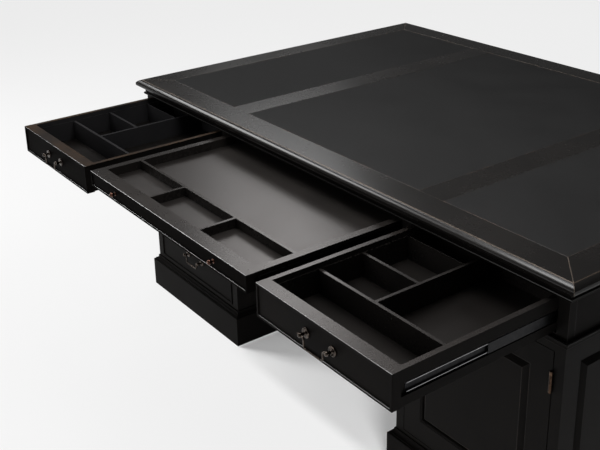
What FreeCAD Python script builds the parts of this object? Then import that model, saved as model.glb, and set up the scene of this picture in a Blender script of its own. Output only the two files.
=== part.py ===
import FreeCAD, Part
import os
import Sketcher

# Partners desk. X runs along the desk, the near long side faces -Y, Z is up, the floor is z 0.
# The near frieze drawers stand open by their full travel; everything else is closed.
# The far long side is the near one turned half round about the middle of the carcass.
# All lengths are in millimetres.

SIZES = {
    # overall
    "desk_width": 1830,
    "desk_depth": 1220,
    "desk_height": 770,
    "overhang": 27,
    # top: moulded border rails, cross rails, writing panels and core
    "slab_thickness": 22,
    "rail_width": 95,
    "panel_thickness": 12,
    "cross_rail_set": 6,
    "cross_rail_width": 82,
    "quirk_inset": 16,
    "quirk_drop": 1.5,
    "nose_drop": 11,
    "nose_flat": 5,
    "nose_round": 6,
    "mitre_reach": 200,
    "spare": 1,
    # bed moulding under the top
    "bed_reach": 16,
    "bed_fillet": 3,
    "bed_cove": 12,
    "bed_step": 4,
    "bed_bead": 4.5,
    # frieze case
    "frame_thickness": 22,
    "end_thickness": 20,
    "upper_rail": 30,
    "side_opening": 86,
    "lower_rail": 6,
    "centre_opening": 48.5,
    "knee_rail_height": 19.5,
    "muntin_set": 9,
    "muntin": 33,
    "stile": 29,
    "board_thickness": 18,
    "dust_thickness": 6,
    "packer_lift": 10,
    "packer_height": 44,
    # waist moulding
    "waist_height": 19,
    "waist_reach": 10,
    "waist_bead": 4,
    "waist_step": 1,
    "waist_round": 5,
    # pedestals
    "pedestal_width": 510,
    "post_width": 28,
    "post_depth": 50,
    "foot_lift": 4,
    "head_rail_height": 37,
    "base_rail_height": 30,
    "base_show": 10,
    "drawer_rail": 14,
    "end_top_rail": 63.5,
    "end_base_rail": 52,
    "end_muntin": 64,
    "shelf_lift": 226,
    "shelf_setback": 52,
    "runner_packer": 36,
    # plinth
    "plinth_reach": 17,
    "plinth_height": 100,
    "plinth_round": 3,
    "plinth_ledge": 1.5,
    "plinth_fillet": 3,
    "plinth_cove": 9,
    "plinth_cap": 4,
    # ovolo strips round a sunk panel, and its raised field
    "sticking": 7,
    "stick_flat": 1.2,
    "stick_quirk": 1.2,
    "sink": 8,
    "plate": 8,
    "floor_margin": 3,
    "field_margin": 22,
    "field_proud": 3,
    # drawers
    "gap": 2,
    "front_thickness": 20,
    "inner_front": 10,
    "bead_width": 6,
    "bead_proud": 3.2,
    "bead_round": 1.2,
    "side_thickness": 13,
    "back_thickness": 12,
    "back_setback": 12,
    "bottom_thickness": 6,
    "box_lift": 2,
    "side_floor_lift": 3,
    "centre_floor_lift": 13.5,
    "low_floor_lift": 8,
    "box_gap": 2.5,
    "box_length": 520,
    "low_side_drop": 14,
    "slide_space": 10,
    "groove_clearance": 1.3,
    "slide_set": 3.5,
    "travel": 445,
    # tray inserts of the frieze drawers
    "tray_wall": 8,
    "tray_lining": 3,
    "tray_drop": 14,
    "tray_front": 122,
    "tray_middle": 118,
    "tray_rear": 131,
    "tray_left": 180,
    "pen_front": 110,
    # slides
    "sheet": 1.2,
    "ball_gap": 0.4,
    "member_half": 10,
    "small_member_half": 7.5,
    "member_depth": 5.2,
    "deep_member_depth": 7.9,
    "lip_start": 2,
    "outer_lip_start": 3.6,
    "drawer_member_start": 35,
    "drawer_member_short": 2,
    "middle_start": 24,
    "middle_over": 2,
    "cabinet_start": 23,
    "cabinet_over": 11,
    # pulls
    "post_half_spacing": 43,
    "pull_rise": 4.5,
    "frieze_pull_rise": 1,
    "rosette_radius": 12,
    "rosette_edge": 1.5,
    "rosette_round": 2.5,
    "neck_flare": 5,
    "neck_radius": 3.6,
    "neck_start": 7,
    "ball_start": 12,
    "post_height": 21.6,
    "pivot_height": 16,
    "rod_radius": 2.2,
    "pin_clearance": 0.06,
    "pin_tail": 8,
    "pin_run": 6,
    "neck_bend": 6,
    "bail_bend": 8,
    "bail_drop": 24,
    # knobs
    "knob_inset": 142,
    "knob_base": 6,
    "knob_edge": 1,
    "knob_shoulder": 4.4,
    "knob_shoulder_high": 2,
    "knob_neck": 3,
    "knob_neck_low": 3,
    "knob_neck_high": 5,
    "knob_height": 17,
    # cupboard door and its butt hinges
    "door_gap": 1.8,
    "hinge_gap": 2.4,
    "door_frame": 56,
    "door_thickness": 22,
    "hinge_length": 53,
    "hinge_inset": 45,
    "leaf": 1,
    "leaf_start": 4.4,
    "leaf_depth": 33,
    "knuckle_radius": 4,
    "knuckle_gap": 0.4,
    "pin_radius": 2,
    "axis_proud": 5,
}

Vector = FreeCAD.Vector
doc = FreeCAD.newDocument("PartnersDesk")
sheet = doc.addObject("Spreadsheet::Sheet", "Sizes")
for row, (alias, number) in enumerate(SIZES.items(), start=1):
    sheet.set(f"A{row}", str(number))
    sheet.setAlias(f"A{row}", alias)
doc.recompute()


class Length:
    """A length as a sheet expression, with its value for first sketches."""

    def __init__(self, text, value):
        self.text = text
        self.value = value

    def __add__(self, other):
        return Length(f"({self.text} + {other.text})", self.value + other.value)

    def __sub__(self, other):
        return Length(f"({self.text} - {other.text})", self.value - other.value)

    def __mul__(self, times):
        return Length(f"({self.text} * {times})", self.value * times)

    def __truediv__(self, parts):
        return Length(f"({self.text} / {parts})", self.value / parts)

    def __neg__(self):
        return Length(f"(0 - {self.text})", -self.value)


class Cells:
    """The sheet's cells by name."""

    def __getattr__(self, alias):
        return Length(f"Sizes.{alias}", SIZES[alias])


c = Cells()
ZERO = Length("0", 0)
UPRIGHT = FreeCAD.Rotation()
HALF_ROUND = FreeCAD.Rotation(Vector(0, 0, 1), 180)
FACING_LEFT = FreeCAD.Rotation(Vector(0, 0, 1), -90)
FACING_RIGHT = FreeCAD.Rotation(Vector(0, 0, 1), 90)
SLANT = FreeCAD.Rotation(Vector(0, 0, 1), 45)
FACING_FRONT = FreeCAD.Rotation(Vector(1, 0, 0), 90)
ALONG_X = FreeCAD.Rotation(Vector(0, 1, 0), 90)


def place(thing, x=ZERO, y=ZERO, z=ZERO, rotation=UPRIGHT):
    thing.Placement = FreeCAD.Placement(Vector(), rotation)
    thing.setExpression("Placement.Base.x", x.text)
    thing.setExpression("Placement.Base.y", y.text)
    thing.setExpression("Placement.Base.z", z.text)
    return thing


def box(name, x, y, z, rotation=UPRIGHT):
    solid = doc.addObject("Part::Box", name)
    solid.setExpression("Length", (x[1] - x[0]).text)
    solid.setExpression("Width", (y[1] - y[0]).text)
    solid.setExpression("Height", (z[1] - z[0]).text)
    return place(solid, x[0], y[0], z[0], rotation)


def cylinder(name, radius, height, x, y, z, rotation=UPRIGHT):
    solid = doc.addObject("Part::Cylinder", name)
    solid.setExpression("Radius", radius.text)
    solid.setExpression("Height", height.text)
    return place(solid, x, y, z, rotation)


def frustum(name, x, y, z, inset, rotation=UPRIGHT, at=(ZERO, ZERO, ZERO)):
    """A block that narrows by inset on four sides from y[0] to y[1], or widens if it is negative."""
    solid = doc.addObject("Part::Wedge", name)
    spans = {
        "Xmin": x[0], "Xmax": x[1], "Ymin": y[0], "Ymax": y[1], "Zmin": z[0], "Zmax": z[1],
        "X2min": x[0] + inset, "X2max": x[1] - inset, "Z2min": z[0] + inset, "Z2max": z[1] - inset,
    }
    for prop, length in spans.items():
        setattr(solid, prop, length.value)
        solid.setExpression(prop, length.text)
    return place(solid, *at, rotation=rotation)


def group(name, pieces, x=ZERO, y=ZERO, z=ZERO, rotation=UPRIGHT):
    bundle = doc.addObject("Part::Compound", name)
    bundle.Links = pieces
    return place(bundle, x, y, z, rotation)


def cut(name, base, tool):
    result = doc.addObject("Part::Cut", name)
    result.Base = base
    result.Tool = tool
    return result


def fuse(name, pieces):
    result = doc.addObject("Part::MultiFuse", name)
    result.Shapes = pieces
    return result


def plane_sketch(body, name, role):
    sketch = body.newObject("Sketcher::SketchObject", name)
    plane = [f for f in body.Origin.OriginFeatures if f.Role == role][0]
    sketch.AttachmentSupport = [(plane, "")]
    sketch.MapMode = "FlatFace"
    return sketch


def pin_point(sketch, geometry, end, point):
    for kind, axis, length in (("DistanceX", -2, point[0]), ("DistanceY", -1, point[1])):
        if length is ZERO:
            sketch.addConstraint(Sketcher.Constraint("PointOnObject", geometry, end, axis))
        else:
            rule = Sketcher.Constraint(kind, -1, 1, geometry, end, length.value)
            index = sketch.addConstraint(rule)
            sketch.setExpression(f"Constraints[{index}]", length.text)


def draw(sketch, start, steps, closed=True):
    """Lines and arcs from point to point; an arc's step also gives its centre across."""
    corner = start
    before = None
    first = None
    for step in steps:
        a = Vector(corner[0].value, corner[1].value, 0)
        b = Vector(step[0].value, step[1].value, 0)
        if len(step) == 2:
            geometry = sketch.addGeometry(Part.LineSegment(a, b))
        else:
            middle = Vector(step[2].value, step[3].value, 0)
            arm = (a - middle) + (b - middle)
            arm.normalize()
            crown = middle + arm * (a - middle).Length
            geometry = sketch.addGeometry(Part.Arc(a, crown, b))
        near = 1
        far = 2
        if (sketch.getPoint(geometry, near) - a).Length > (sketch.getPoint(geometry, far) - a).Length:
            near, far = far, near
        if before is None:
            first = (geometry, near)
        else:
            sketch.addConstraint(Sketcher.Constraint("Coincident", before[0], before[1], geometry, near))
        if not (closed and step is steps[-1]):
            pin_point(sketch, geometry, far, step)
        if len(step) > 2:
            if step[2] is ZERO:
                sketch.addConstraint(Sketcher.Constraint("PointOnObject", geometry, 3, -2))
            else:
                rule = Sketcher.Constraint("DistanceX", -1, 1, geometry, 3, step[2].value)
                index = sketch.addConstraint(rule)
                sketch.setExpression(f"Constraints[{index}]", step[2].text)
        before = (geometry, far)
        corner = step
    pin_point(sketch, first[0], first[1], start)
    if closed:
        sketch.addConstraint(Sketcher.Constraint("Coincident", before[0], before[1], first[0], first[1]))


def moulding(name, length, low, high, start, steps):
    """A strip along X with its outermost line at y 0 and both ends mitred to the outer corner."""
    body = doc.addObject("PartDesign::Body", f"{name}_body")
    sketch = plane_sketch(body, f"{name}_profile", "YZ_Plane")
    draw(sketch, start, steps)
    pad = body.newObject("PartDesign::Pad", f"{name}_run")
    pad.Profile = sketch
    pad.Midplane = True
    pad.setExpression("Length", length.text)
    saws = []
    for end, x in (("left", -(length / 2)), ("right", length / 2)):
        saw = box(
            f"{name}_mitre_{end}",
            (x, x + c.mitre_reach),
            (ZERO, c.mitre_reach),
            (low - c.spare, high + c.spare),
            SLANT,
        )
        saws.append(saw)
    return cut(name, body, group(f"{name}_mitres", saws))


def standing_ring(name, wide, tall, low, high, start, steps):
    """Four mitred strips inside the edges of an upright rectangle that faces front."""
    across = moulding(f"{name}_across", wide, low, high, start, steps)
    upright = moulding(f"{name}_upright", tall, low, high, start, steps)
    half = wide / 2
    return group(name, [
        group(f"{name}_foot", [across]),
        group(f"{name}_head", [across], y=tall, rotation=HALF_ROUND),
        group(f"{name}_left", [upright], x=-half, y=tall / 2, rotation=FACING_LEFT),
        group(f"{name}_right", [upright], x=half, y=tall / 2, rotation=FACING_RIGHT),
    ], rotation=FACING_FRONT)


def bead_ring(name, x, z):
    """A cock bead round a drawer front, with both its edges rounded."""
    shoulder = c.bead_proud - c.bead_round
    inner_round = c.bead_width - c.bead_round
    start = (ZERO, ZERO)
    steps = [
        (ZERO, shoulder),
        (c.bead_round, c.bead_proud, c.bead_round, shoulder),
        (inner_round, c.bead_proud),
        (c.bead_width, shoulder, inner_round, shoulder),
        (c.bead_width, ZERO),
        start,
    ]
    return standing_ring(name, x[1] - x[0], z[1] - z[0], ZERO, c.bead_proud, start, steps)


def sticking_ring(name, x, z):
    """An ovolo strip with a quirk round a sunk panel, flush with the frame's face."""
    round_low = -c.stick_quirk - (c.sticking - c.stick_flat)
    start = (ZERO, ZERO)
    steps = [
        (c.stick_flat, ZERO),
        (c.stick_flat, -c.stick_quirk),
        (c.sticking, round_low, c.stick_flat, round_low),
        (c.sticking, -c.sink),
        (ZERO, -c.sink),
        start,
    ]
    return standing_ring(name, x[1] - x[0], z[1] - z[0], -c.sink, ZERO, start, steps)


def turned(name, start, steps):
    """A turned piece with its foot at z 0 and its axis up Z."""
    body = doc.addObject("PartDesign::Body", f"{name}_body")
    sketch = plane_sketch(body, f"{name}_profile", "XZ_Plane")
    draw(sketch, start, steps)
    lathe = body.newObject("PartDesign::Revolution", f"{name}_turning")
    lathe.Profile = sketch
    lathe.ReferenceAxis = (sketch, ["V_Axis"])
    lathe.Angle = 360
    return body


NODES = []


def node(name, pieces, x=ZERO, y=ZERO, z=ZERO, rotation=UPRIGHT):
    bundle = group(name, pieces, x, y, z, rotation)
    bundle.Label = name
    NODES.append(bundle)
    return bundle


# Levels and planes that several pieces share
carcass_y = (c.travel + c.post_height - c.overhang) / 2
half_width = c.desk_width / 2
half_depth = c.desk_depth / 2
face_x = half_width - c.overhang
face_y = half_depth - c.overhang
near_face = carcass_y - face_y
slab_bottom = c.desk_height - c.slab_thickness
frieze_rail_high = slab_bottom - c.upper_rail
frieze_rail_low = frieze_rail_high - c.side_opening
frieze_bottom = frieze_rail_low - c.lower_rail
knee_rail_high = frieze_rail_high - c.centre_opening
knee_rail_low = knee_rail_high - c.knee_rail_height
pedestal_mid = face_x - c.pedestal_width / 2
pedestal_inner = face_x - c.pedestal_width
muntin_inner = pedestal_inner + c.muntin_set
muntin_outer = muntin_inner + c.muntin
stile_inner = face_x - c.stile
frame_back = near_face + c.frame_thickness
far_frame_back = carcass_y + face_y - c.frame_thickness
mid_near = carcass_y - c.board_thickness / 2
mid_far = carcass_y + c.board_thickness / 2

# Top: four mitred rails with a quirked thumbnail edge
rail_start = (c.quirk_inset, c.desk_height)
rail_steps = [
    (c.quirk_inset, c.desk_height - c.quirk_drop),
    (ZERO, c.desk_height - c.nose_drop, c.quirk_inset, slab_bottom),
    (ZERO, c.desk_height - c.nose_drop - c.nose_flat),
    (c.nose_round, slab_bottom, c.nose_round, slab_bottom + c.nose_round),
    (c.rail_width, slab_bottom),
    (c.rail_width, c.desk_height),
    rail_start,
]
long_rail = moulding("long_rail", c.desk_width, slab_bottom, c.desk_height, rail_start, rail_steps)
short_rail = moulding("short_rail", c.desk_depth, slab_bottom, c.desk_height, rail_start, rail_steps)
node("top_rail_near", [long_rail], y=carcass_y - half_depth)
node("top_rail_far", [long_rail], y=carcass_y + half_depth, rotation=HALF_ROUND)
node("top_rail_left", [short_rail], x=-half_width, y=carcass_y, rotation=FACING_LEFT)
node("top_rail_right", [short_rail], x=half_width, y=carcass_y, rotation=FACING_RIGHT)

inside_x = half_width - c.rail_width
inside_y = half_depth - c.rail_width
inside_span = (carcass_y - inside_y, carcass_y + inside_y)
inlay_low = c.desk_height - c.panel_thickness
inlay = (inlay_low, c.desk_height)
cross_inner = pedestal_inner - c.cross_rail_set
cross_outer = cross_inner + c.cross_rail_width
node("top_core", [box("core_board", (-inside_x, inside_x), inside_span, (slab_bottom, inlay_low))])
node("top_cross_rails", [
    box("cross_rail_left", (-cross_outer, -cross_inner), inside_span, inlay),
    box("cross_rail_right", (cross_inner, cross_outer), inside_span, inlay),
])
node("writing_panels", [
    box("panel_left", (-inside_x, -cross_outer), inside_span, inlay),
    box("panel_centre", (-cross_inner, cross_inner), inside_span, inlay),
    box("panel_right", (cross_outer, inside_x), inside_span, inlay),
])

# Frieze case: a face frame on each long side, ends, partitions and packers
face_depth = (near_face, frame_back)
frieze = (frieze_bottom, frieze_rail_high)
low_rail = (frieze_bottom, frieze_rail_low)
knee_rail = (knee_rail_low, knee_rail_high)
near_frame = group("near_frame", [
    box("frieze_upper_rail", (-face_x, face_x), face_depth, (frieze_rail_high, slab_bottom)),
    box("frieze_stile_left", (-face_x, -stile_inner), face_depth, frieze),
    box("frieze_stile_right", (stile_inner, face_x), face_depth, frieze),
    box("frieze_muntin_left", (-muntin_outer, -muntin_inner), face_depth, frieze),
    box("frieze_muntin_right", (muntin_inner, muntin_outer), face_depth, frieze),
    box("frieze_low_rail_left", (-stile_inner, -muntin_outer), face_depth, low_rail),
    box("frieze_low_rail_right", (muntin_outer, stile_inner), face_depth, low_rail),
    box("knee_rail", (-muntin_inner, muntin_inner), face_depth, knee_rail),
])
far_frame = group("far_frame", [near_frame], y=carcass_y * 2, rotation=HALF_ROUND)
end_inner = face_x - c.end_thickness
between_frames = (frame_back, far_frame_back)
frieze_full = (frieze_bottom, slab_bottom)
node("frieze_frame", [
    near_frame,
    far_frame,
    box("frieze_end_left", (-face_x, -end_inner), between_frames, frieze_full),
    box("frieze_end_right", (end_inner, face_x), between_frames, frieze_full),
])
mid_span = (mid_near, mid_far)
packer_low = frieze_rail_low + c.packer_lift
packer = (packer_low, packer_low + c.packer_height)
packer_span = (frame_back, mid_near)
near_packers = group("near_packers", [
    box("packer_left", (-end_inner, -stile_inner), packer_span, packer),
    box("packer_right", (stile_inner, end_inner), packer_span, packer),
])
far_packers = group("far_packers", [near_packers], y=carcass_y * 2, rotation=HALF_ROUND)
dust_high = knee_rail_low + c.dust_thickness
node("frieze_partitions", [
    box("partition_left", (-muntin_outer, -muntin_inner), between_frames, frieze_full),
    box("partition_right", (muntin_inner, muntin_outer), between_frames, frieze_full),
    box("cross_board_left", (-end_inner, -muntin_outer), mid_span, frieze_full),
    box("cross_board_right", (muntin_outer, end_inner), mid_span, frieze_full),
    box("cross_board_knee", (-muntin_inner, muntin_inner), mid_span, (dust_high, slab_bottom)),
    box("dust_panel", (-muntin_inner, muntin_inner), between_frames, (knee_rail_low, dust_high)),
    near_packers,
    far_packers,
])

# Mouldings: bed moulding under the top and a waist moulding round each pedestal's head
cove_top = slab_bottom - c.bed_fillet
cove_low = cove_top - c.bed_cove
bead_top = cove_low - c.bed_step
bead_mid = bead_top - c.bed_bead
bed_low = bead_mid - c.bed_bead
bed_start = (ZERO, slab_bottom)
bed_steps = [
    (ZERO, cove_top),
    (c.bed_cove, cove_low, ZERO, cove_low),
    (c.bed_cove, bead_top),
    (c.bed_cove - c.bed_bead, bead_mid, c.bed_cove, bead_mid),
    (c.bed_cove, bed_low, c.bed_cove, bead_mid),
    (c.bed_reach, bed_low),
    (c.bed_reach, slab_bottom),
    bed_start,
]
bed_length = (face_x + c.bed_reach) * 2
bed_depth = (face_y + c.bed_reach) * 2
bed_long = moulding("bed_long", bed_length, bed_low, slab_bottom, bed_start, bed_steps)
bed_short = moulding("bed_short", bed_depth, bed_low, slab_bottom, bed_start, bed_steps)

waist_top = frieze_bottom
waist_mid = waist_top - c.waist_bead
waist_ledge = waist_mid - c.waist_bead
waist_bottom = waist_top - c.waist_height
waist_neck = waist_bottom + c.waist_round
waist_start = (c.waist_reach, waist_top)
waist_steps = [
    (c.waist_bead, waist_top),
    (ZERO, waist_mid, c.waist_bead, waist_mid),
    (c.waist_bead, waist_ledge, c.waist_bead, waist_mid),
    (c.waist_bead + c.waist_step, waist_ledge),
    (c.waist_bead + c.waist_step, waist_neck),
    (c.waist_bead + c.waist_step + c.waist_round, waist_bottom,
     c.waist_bead + c.waist_step + c.waist_round, waist_neck),
    waist_start,
]
waist_wide = c.pedestal_width + c.waist_reach * 2
waist_deep = (face_y + c.waist_reach) * 2
waist_short = moulding("waist_short", waist_wide, waist_bottom, waist_top, waist_start, waist_steps)
waist_long = moulding("waist_long", waist_deep, waist_bottom, waist_top, waist_start, waist_steps)

plinth_low = c.plinth_height - c.plinth_round
plinth_ledge = c.plinth_round + c.plinth_ledge
plinth_neck = c.plinth_height + c.plinth_fillet
plinth_cove_top = plinth_neck + c.plinth_cove
plinth_top = plinth_cove_top + c.plinth_cap
plinth_start = (ZERO, ZERO)
plinth_steps = [
    (ZERO, plinth_low),
    (c.plinth_round, c.plinth_height, c.plinth_round, plinth_low),
    (plinth_ledge, c.plinth_height),
    (plinth_ledge, plinth_neck),
    (plinth_ledge + c.plinth_cove, plinth_cove_top, plinth_ledge, plinth_cove_top),
    (plinth_ledge + c.plinth_cove, plinth_top),
    (c.plinth_reach, plinth_top),
    (c.plinth_reach, ZERO),
    plinth_start,
]
plinth_wide = c.pedestal_width + c.plinth_reach * 2
plinth_deep = (face_y + c.plinth_reach) * 2
plinth_short = moulding("plinth_short", plinth_wide, ZERO, plinth_top, plinth_start, plinth_steps)
plinth_long = moulding("plinth_long", plinth_deep, ZERO, plinth_top, plinth_start, plinth_steps)


def ring(name, short, long, reach):
    """Four strips round the left pedestal."""
    return [
        group(f"{name}_near", [short], x=-pedestal_mid, y=near_face - reach),
        group(f"{name}_far", [short], x=-pedestal_mid, y=carcass_y + face_y + reach,
              rotation=HALF_ROUND),
        group(f"{name}_outer", [long], x=-face_x - reach, y=carcass_y, rotation=FACING_LEFT),
        group(f"{name}_inner", [long], x=reach - pedestal_inner, y=carcass_y, rotation=FACING_RIGHT),
    ]


waist_left = group("waist_left", ring("waist", waist_short, waist_long, c.waist_reach))
waist_right = group("waist_right", [waist_left], y=carcass_y * 2, rotation=HALF_ROUND)
node("carcass_mouldings", [
    group("bed_near", [bed_long], y=near_face - c.bed_reach),
    group("bed_far", [bed_long], y=carcass_y + face_y + c.bed_reach, rotation=HALF_ROUND),
    group("bed_left", [bed_short], x=-face_x - c.bed_reach, y=carcass_y, rotation=FACING_LEFT),
    group("bed_right", [bed_short], x=face_x + c.bed_reach, y=carcass_y, rotation=FACING_RIGHT),
    waist_left,
    waist_right,
])
plinth_left = group("plinth_left", ring("plinth", plinth_short, plinth_long, c.plinth_reach))
plinth_right = group("plinth_right", [plinth_left], y=carcass_y * 2, rotation=HALF_ROUND)
node("plinths", [plinth_left, plinth_right])

# Left pedestal: drawers on the near side, a cupboard on the far side
opening_low = plinth_top + c.base_show
opening_high = frieze_bottom - c.head_rail_height
base_rail_low = opening_low - c.base_rail_height
shelf_low = opening_low + c.shelf_lift
outer = -face_x
inner = -pedestal_inner
outer_post = (outer, outer + c.post_width)
inner_post = (inner - c.post_width, inner)
opening = (outer_post[1], inner_post[0])
near_post = (near_face, near_face + c.post_depth)
far_post = (carcass_y + face_y - c.post_depth, carcass_y + face_y)
between_posts = (near_post[1], far_post[0])
tall = (c.foot_lift, frieze_bottom)
far_face_depth = (far_frame_back, carcass_y + face_y)
head_rail = (opening_high, frieze_bottom)
base_rail = (base_rail_low, opening_low)
outer_wall = (outer, outer + c.frame_thickness)
inner_wall = (inner - c.board_thickness, inner)
between_walls = (outer_wall[1], inner_wall[0])
drawer_room = (opening_high - opening_low - c.drawer_rail * 2) / 3
rail_1 = opening_low + drawer_room
rail_2 = rail_1 + c.drawer_rail + drawer_room
half_muntin = c.end_muntin / 2
end_panel_width = (between_posts[1] - between_posts[0] - c.end_muntin) / 2
end_panel_mid = half_muntin + end_panel_width / 2
end_tall = (plinth_top + c.end_base_rail, frieze_bottom - c.end_top_rail)

end_panels = []
for side, sign in (("near", -1), ("far", 1)):
    middle = carcass_y + end_panel_mid * sign
    half = end_panel_width / 2
    strips = sticking_ring(f"end_sticking_{side}", (-half, half), end_tall)
    end_panels.append(group(f"end_strips_{side}", [strips], outer, middle, end_tall[0], FACING_LEFT))
    field_x = (-half + c.field_margin, half - c.field_margin)
    field_z = (end_tall[0] + c.field_margin, end_tall[1] - c.field_margin)
    slope = c.field_margin - c.sticking - c.floor_margin
    field = frustum(f"end_field_{side}", field_x, (-c.field_proud, c.sink), field_z, -slope,
                    FACING_LEFT, (outer, middle, ZERO))
    plate_x = (outer + c.sink, outer + c.sink + c.plate)
    plate = box(f"end_plate_{side}", plate_x, (middle - half, middle + half), end_tall)
    end_panels.append(fuse(f"end_panel_{side}", [field, plate]))
end_frame = [
    box("end_top_rail_board", outer_wall, between_posts, (end_tall[1], frieze_bottom)),
    box("end_base_rail_board", outer_wall, between_posts, (base_rail_low, end_tall[0])),
    box("end_muntin_bar", outer_wall, (carcass_y - half_muntin, carcass_y + half_muntin), end_tall),
]
runner_packers = []
drawer_levels = [
    ("bottom", (opening_low, rail_1)),
    ("middle", (rail_1 + c.drawer_rail, rail_2)),
    ("top", (rail_2 + c.drawer_rail, opening_high)),
]
packer_run = (near_post[1], mid_near)
for level, (low, high) in drawer_levels:
    heart = (low + high) / 2
    band = (heart - c.runner_packer / 2, heart + c.runner_packer / 2)
    runner_packers.append(box(f"runner_packer_outer_{level}", (outer_wall[1], opening[0]), packer_run, band))
    runner_packers.append(box(f"runner_packer_inner_{level}", (opening[1], inner_wall[0]), packer_run, band))
between_rails = (frame_back, far_frame_back)
base_board = (opening_low - c.board_thickness, opening_low)
pedestal_head = (frieze_bottom - c.board_thickness, frieze_bottom)
pedestal_pieces = [
    box("post_outer_near", outer_post, near_post, tall),
    box("post_outer_far", outer_post, far_post, tall),
    box("post_inner_near", inner_post, near_post, tall),
    box("post_inner_far", inner_post, far_post, tall),
    box("inner_side", inner_wall, between_posts, (base_rail_low, frieze_bottom)),
    box("head_rail_near", opening, face_depth, head_rail),
    box("base_rail_near", opening, face_depth, base_rail),
    box("drawer_rail_low", opening, face_depth, (rail_1, rail_1 + c.drawer_rail)),
    box("drawer_rail_high", opening, face_depth, (rail_2, rail_2 + c.drawer_rail)),
    box("head_rail_far", opening, far_face_depth, head_rail),
    box("base_rail_far", opening, far_face_depth, base_rail),
    box("head_board", opening, between_rails, pedestal_head),
    box("base_board", opening, between_rails, base_board),
    box("back_board", between_walls, mid_span, (opening_low, pedestal_head[0])),
    box("cupboard_shelf", between_walls, (mid_far, far_frame_back - c.shelf_setback),
        (shelf_low, shelf_low + c.board_thickness)),
]
left_pedestal = node("pedestal_left", pedestal_pieces + end_frame + end_panels + runner_packers)
node("pedestal_right", [left_pedestal], y=carcass_y * 2, rotation=HALF_ROUND)


# Drawers
def side_board(name, x, y, z):
    return box(name, x, y, z)


def drawer(name, x, z, face, box_x, box_high, beads, floor_lift, sides, dividers):
    """Front with its cock beads, box behind it and, in a frieze drawer, the tray's walls."""
    front_back = face + c.front_thickness
    inner_back = front_back + c.inner_front
    end = front_back + c.box_length
    box_low = z[0] + c.box_lift
    tall_box = (box_low, box_high)
    left = box_x[0] + c.side_thickness
    right = box_x[1] - c.side_thickness
    back_face = end - c.back_setback - c.back_thickness
    floor_low = z[0] + floor_lift
    floor = floor_low + c.bottom_thickness
    pieces = [
        box(f"{name}_front", x, (face, front_back), z),
        group(f"{name}_beads", [beads], (x[0] + x[1]) / 2, face, z[0]),
        box(f"{name}_inner_front", (left, right), (front_back, inner_back), tall_box),
        sides(f"{name}_side_left", (box_x[0], left), (front_back, end), tall_box),
        sides(f"{name}_side_right", (right, box_x[1]), (front_back, end), tall_box),
        box(f"{name}_back", (left, right), (back_face, back_face + c.back_thickness), tall_box),
        box(f"{name}_floor", (left, right), (inner_back, back_face), (floor_low, floor)),
    ]
    return pieces + dividers(name, (left, right), (inner_back, back_face), (floor, box_high))


def no_tray(name, x, y, z):
    return []


def tray_rim(name, x, y, z, wall):
    side_y = (y[0] + wall, y[1] - wall)
    return [
        box(f"{name}_tray_front", x, (y[0], side_y[0]), z),
        box(f"{name}_tray_back", x, (side_y[1], y[1]), z),
        box(f"{name}_tray_left", (x[0], x[0] + wall), side_y, z),
        box(f"{name}_tray_right", (x[1] - wall, x[1]), side_y, z),
    ]


def desk_tray(name, x, y, z):
    """A full-width front compartment, small ones behind it at the left and a long one."""
    left = x[0] + c.tray_lining
    right = x[1] - c.tray_lining
    cross = y[0] + c.tray_front
    long = left + c.tray_left
    second = cross + c.tray_wall + c.tray_middle
    third = second + c.tray_wall + c.tray_rear
    rear = y[1] - c.tray_lining
    tray = (z[0], z[1] - c.tray_drop)
    return tray_rim(name, x, y, tray, c.tray_lining) + [
        box(f"{name}_divider_front", (left, right), (cross, cross + c.tray_wall), tray),
        box(f"{name}_divider_long", (long, long + c.tray_wall), (cross + c.tray_wall, rear), tray),
        box(f"{name}_divider_middle", (left, long), (second, second + c.tray_wall), tray),
        box(f"{name}_divider_rear", (left, long), (third, third + c.tray_lining), tray),
    ]


def pen_tray(name, x, y, z):
    """Three equal compartments along the front and one large one behind."""
    left = x[0] + c.tray_wall
    right = x[1] - c.tray_wall
    front = y[0] + c.tray_wall
    cross = y[0] + c.pen_front
    third = (right - left - c.tray_wall * 2) / 3
    first = left + third
    second = first + c.tray_wall + third
    return tray_rim(name, x, y, z, c.tray_wall) + [
        box(f"{name}_divider_long", (left, right), (cross, cross + c.tray_wall), z),
        box(f"{name}_divider_left", (first, first + c.tray_wall), (front, cross), z),
        box(f"{name}_divider_right", (second, second + c.tray_wall), (front, cross), z),
    ]


def grooved_sides(opening_x, middle, half):
    """Side boards with a groove along their outer faces for a slide of this half height."""
    space = half + (c.ball_gap + c.sheet) * 2 + c.groove_clearance
    band = (middle - space, middle + space)

    def side(name, x, y, z):
        blank = side_board(f"{name}_blank", x, y, z)
        if x[0].value < (opening_x[0].value + opening_x[1].value) / 2:
            reach = (opening_x[0], opening_x[0] + c.slide_space)
        else:
            reach = (opening_x[1] - c.slide_space, opening_x[1])
        return cut(name, blank, box(f"{name}_groove", reach, (y[0] - c.spare, y[1] + c.spare), band))

    return side


def channel(name, wall, sign, web, lip, y, middle, half):
    """A sheet channel beside a drawer: its web and the edge of its lips, counted from the wall."""
    edges = [wall + web * sign, wall + lip * sign]
    hollow = [wall + (web + c.sheet) * sign, wall + lip * sign]
    if web.value > lip.value:
        hollow = [wall + (web - c.sheet) * sign, wall + lip * sign]
    if edges[0].value > edges[1].value:
        edges.reverse()
        hollow.reverse()
    blank = box(f"{name}_blank", edges, y, (middle - half, middle + half))
    inside = half - c.sheet
    core = box(f"{name}_core", hollow, y, (middle - inside, middle + inside))
    return cut(name, blank, core)


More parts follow.
